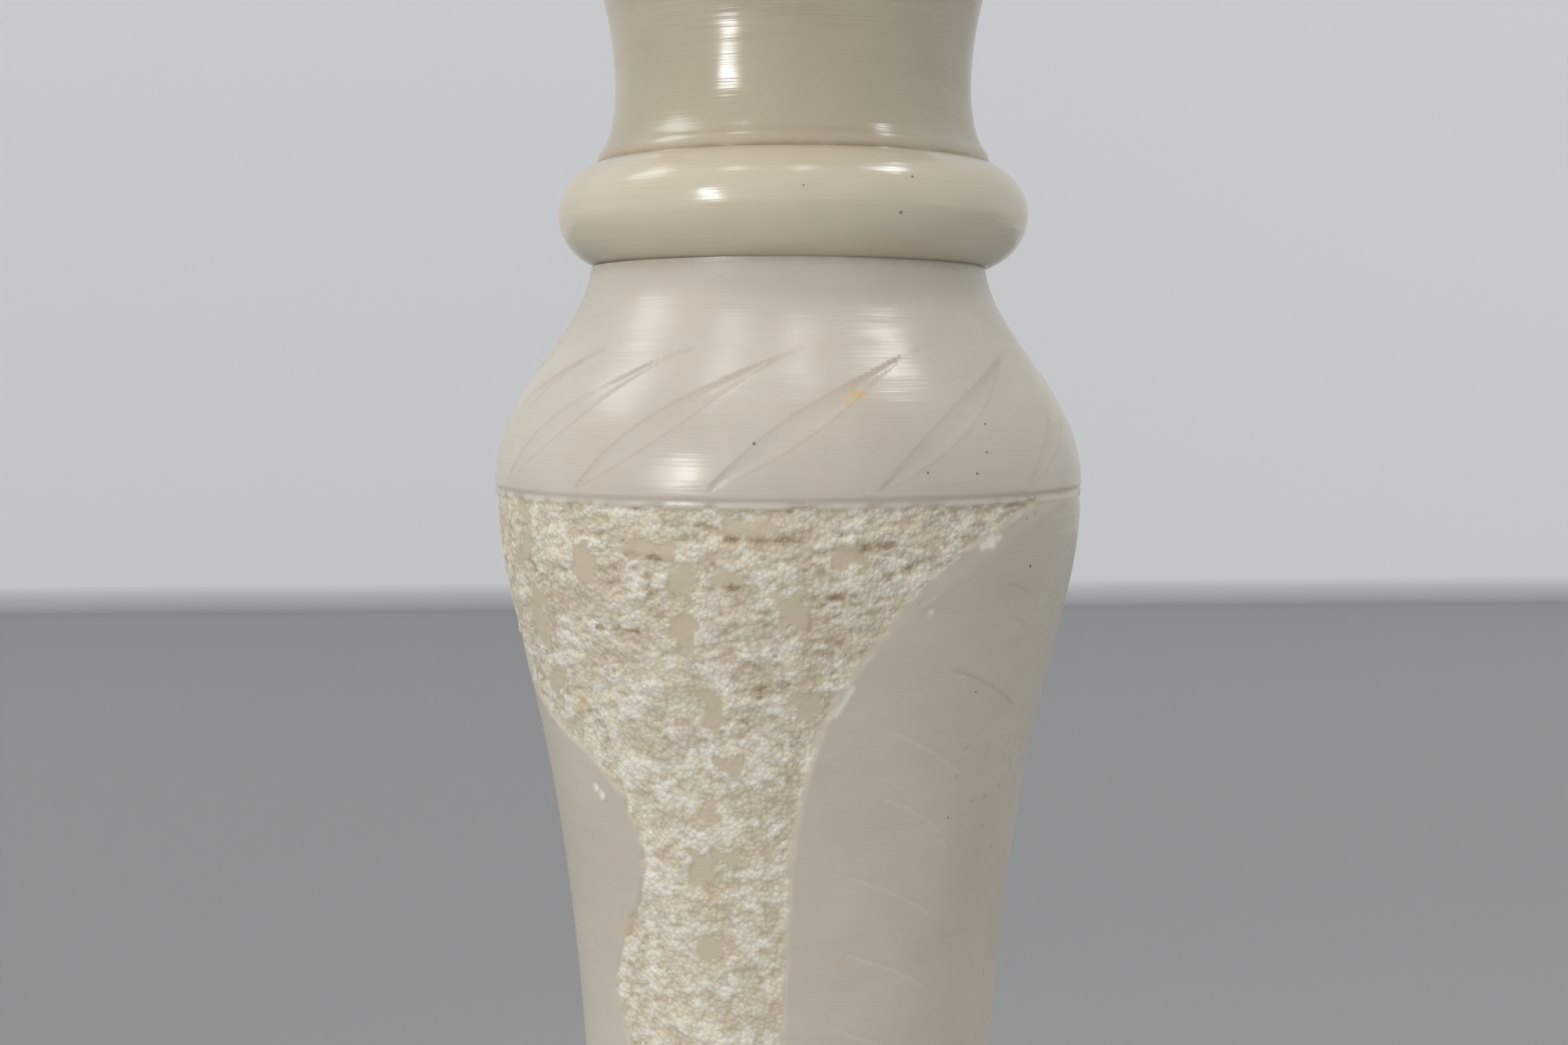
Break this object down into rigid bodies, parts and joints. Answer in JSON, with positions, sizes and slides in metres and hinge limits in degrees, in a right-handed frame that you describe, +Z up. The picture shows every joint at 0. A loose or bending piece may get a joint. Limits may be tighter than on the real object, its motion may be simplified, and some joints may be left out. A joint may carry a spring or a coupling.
{
  "type": "alabaster pedestal",
  "caption": "Turned and carved alabaster pedestal with round foot and top, ringed neck, bulging shoulder with slanted gouges, and large smooth leaves on rough pointed ground.",
  "frame": {"origin": "middle of the underside, where the base slab stands on the floor", "axes": "+Z up along the turning axis; -Y is the front, with a carved leaf to the right of the middle and rough ground left of it"},
  "size_m": [0.276, 0.276, 1],
  "materials": {
    "shaft_alabaster": "satin turned faces, matt white crystalline ground",
    "neck_alabaster": "polished, browner and more translucent",
    "slab_alabaster": "polished"
  },
  "bodies": {
    "root": {"base_slab": "slab_alabaster", "foot": "neck_alabaster", "shaft": "shaft_alabaster", "neck": "neck_alabaster", "top_slab": "slab_alabaster"}
  },
  "joints": []
}
